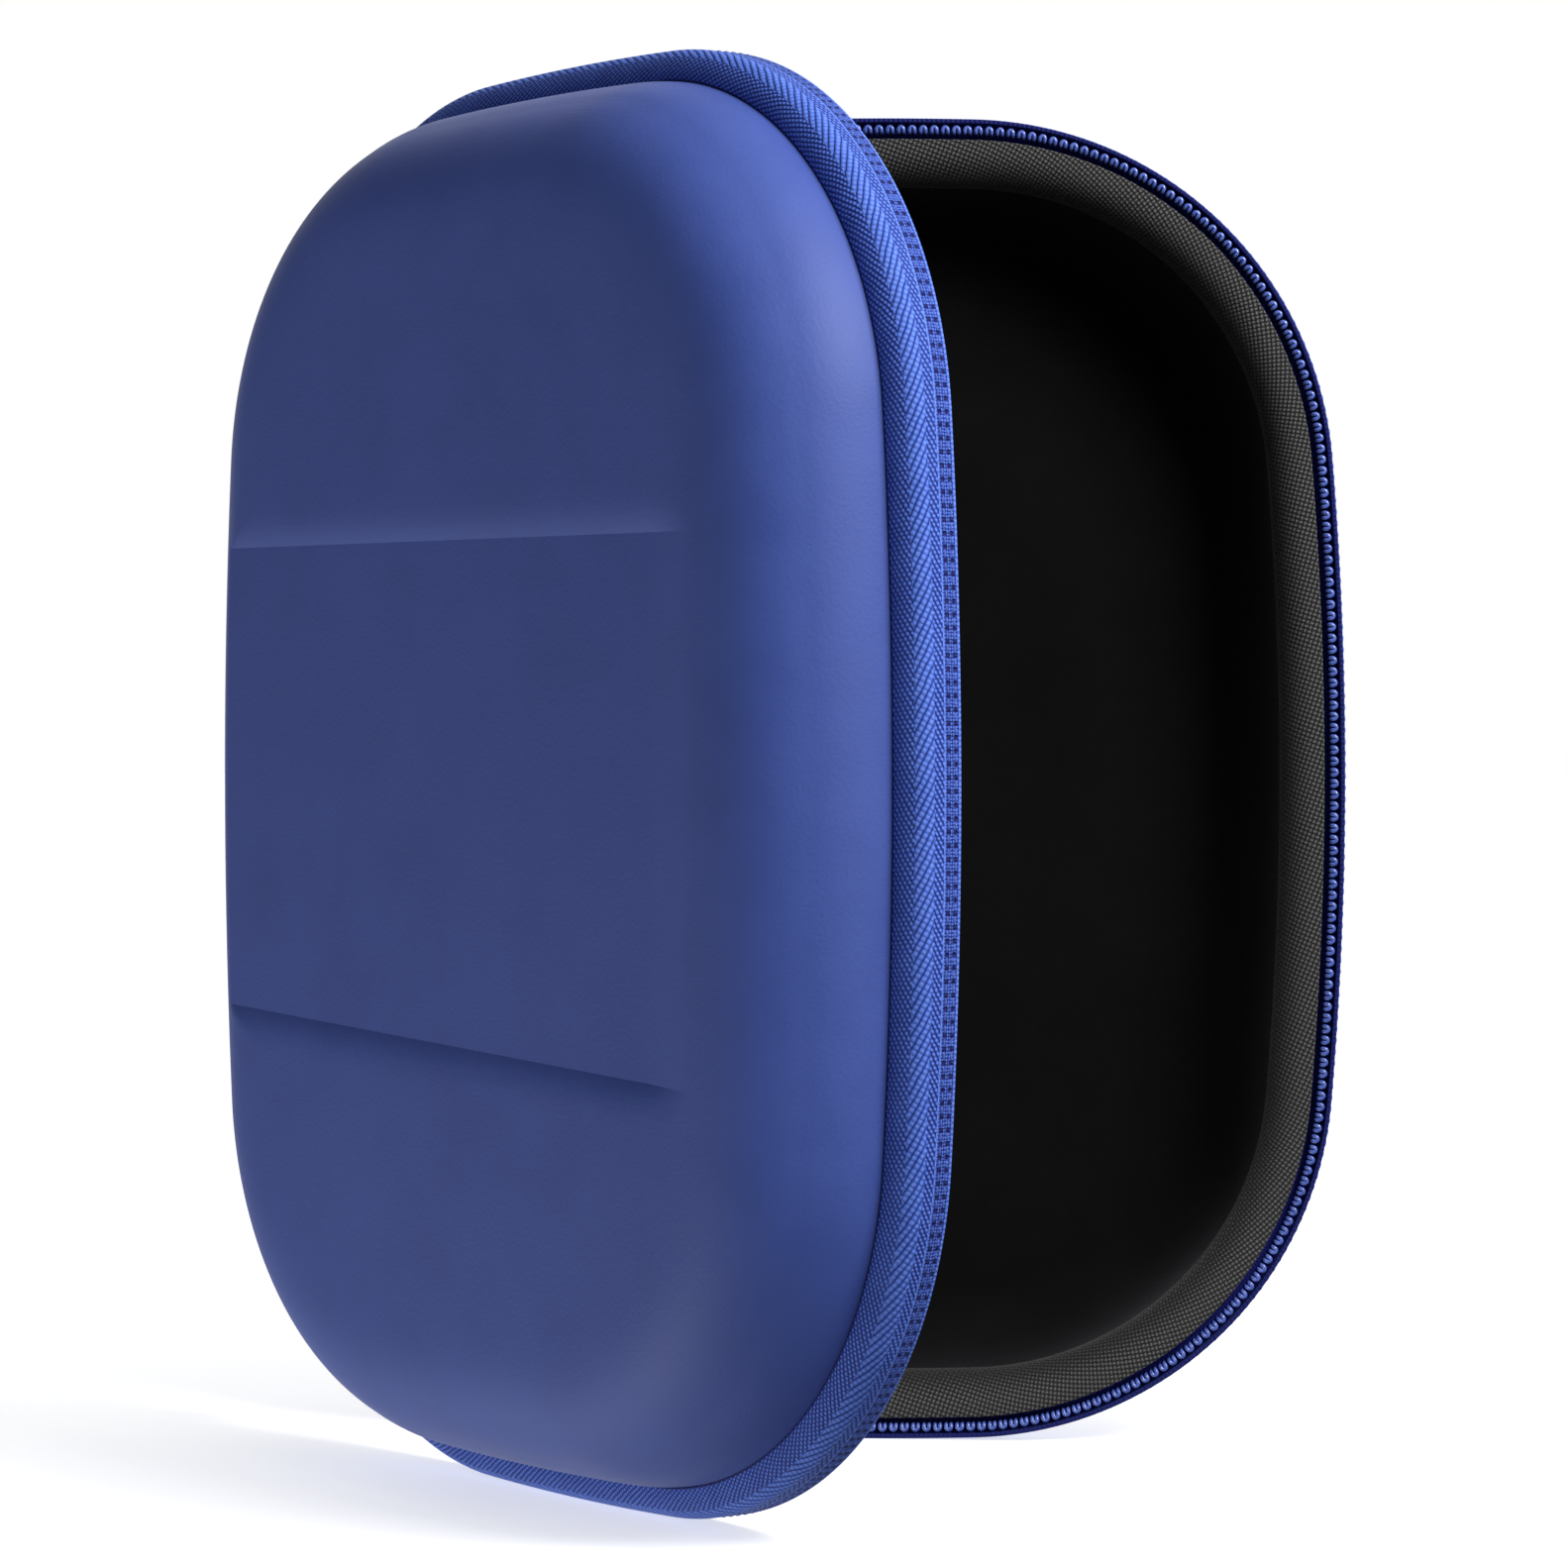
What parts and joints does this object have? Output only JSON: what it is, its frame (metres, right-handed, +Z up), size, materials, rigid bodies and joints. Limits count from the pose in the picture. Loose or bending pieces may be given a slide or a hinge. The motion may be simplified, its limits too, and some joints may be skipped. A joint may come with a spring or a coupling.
{
  "type": "headphone carrying case",
  "caption": "Hard-shell zipped headphone case opened like a book: two domed blue shells with woven rims, velvet-lined cavities, a fabric spine hinge and a flat band pressed across the lid.",
  "frame": {"origin": "middle of the footprint of the standing, opened case, at floor level", "axes": "+Z up along the case's long side, which is also the spine; -Y is the way the base's cavity opens; +X runs from the spine to the base's free edge"},
  "size_m": [0.1822, 0.1638, 0.22],
  "materials": {
    "blue_skin": "matt coated fabric with a fine grain",
    "black_foam": "moulded closed-cell foam",
    "black_velvet": "short-pile velvet",
    "black_weave": "plain weave",
    "blue_tape": "herringbone zipper tape",
    "blue_coil": "nylon coil",
    "black_mesh": "open net",
    "black_elastic": "ribbed elastic",
    "dark_metal": "black enamelled zinc"
  },
  "bodies": {
    "base": {"base_outer_skin": "blue_skin", "base_foam_shell": "black_foam", "base_velvet_lining": "black_velvet", "base_rim_band": "black_weave", "base_zipper_tape": "blue_tape", "base_spine_strip": "blue_tape", "base_zipper_coil": "blue_coil", "base_top_stop": "dark_metal"},
    "lid": {"lid_outer_skin": "blue_skin", "lid_foam_shell": "black_foam", "lid_velvet_lining": "black_velvet", "lid_rim_band": "black_weave", "lid_zipper_tape": "blue_tape", "lid_spine_strip": "blue_tape", "lid_zipper_coil": "blue_coil", "lid_top_stop": "dark_metal", "lid_pocket_mesh": "black_mesh", "lid_pocket_elastic": "black_elastic"},
    "chain_end": {"zipper_bottom_stop": "dark_metal"},
    "slider": {"slider_body": "dark_metal", "slider_bridge": "dark_metal"},
    "pull": {"pull_tab": "dark_metal"}
  },
  "joints": [
    {"name": "lid_hinge", "type": "hinge", "parent": "base", "child": "lid", "pos_m": [-0.08089, 0.05236, 0.11], "axis": [0, 0, -1], "range_deg": [-47, 125]},
    {"name": "chain_end_turn", "type": "hinge", "parent": "base", "child": "chain_end", "pos_m": [-0.08089, 0.05236, 0.11], "axis": [0, 0, -1], "range_deg": [-23.5, 62.5]},
    {"name": "slider_travel", "type": "slide", "parent": "chain_end", "child": "slider", "axis": [0.1923, -0.0836, -0.9778], "range_m": [0, 0.008]},
    {"name": "pull_swing", "type": "hinge", "parent": "slider", "child": "pull", "pos_m": [-0.08002, 0.05198, 0.04869], "axis": [0.3987, 0.9171, 0], "range_deg": [-8, 125]}
  ],
  "couplings": [
    {"joint": "chain_end_turn", "follows": "lid_hinge", "ratio": 0.5}
  ]
}
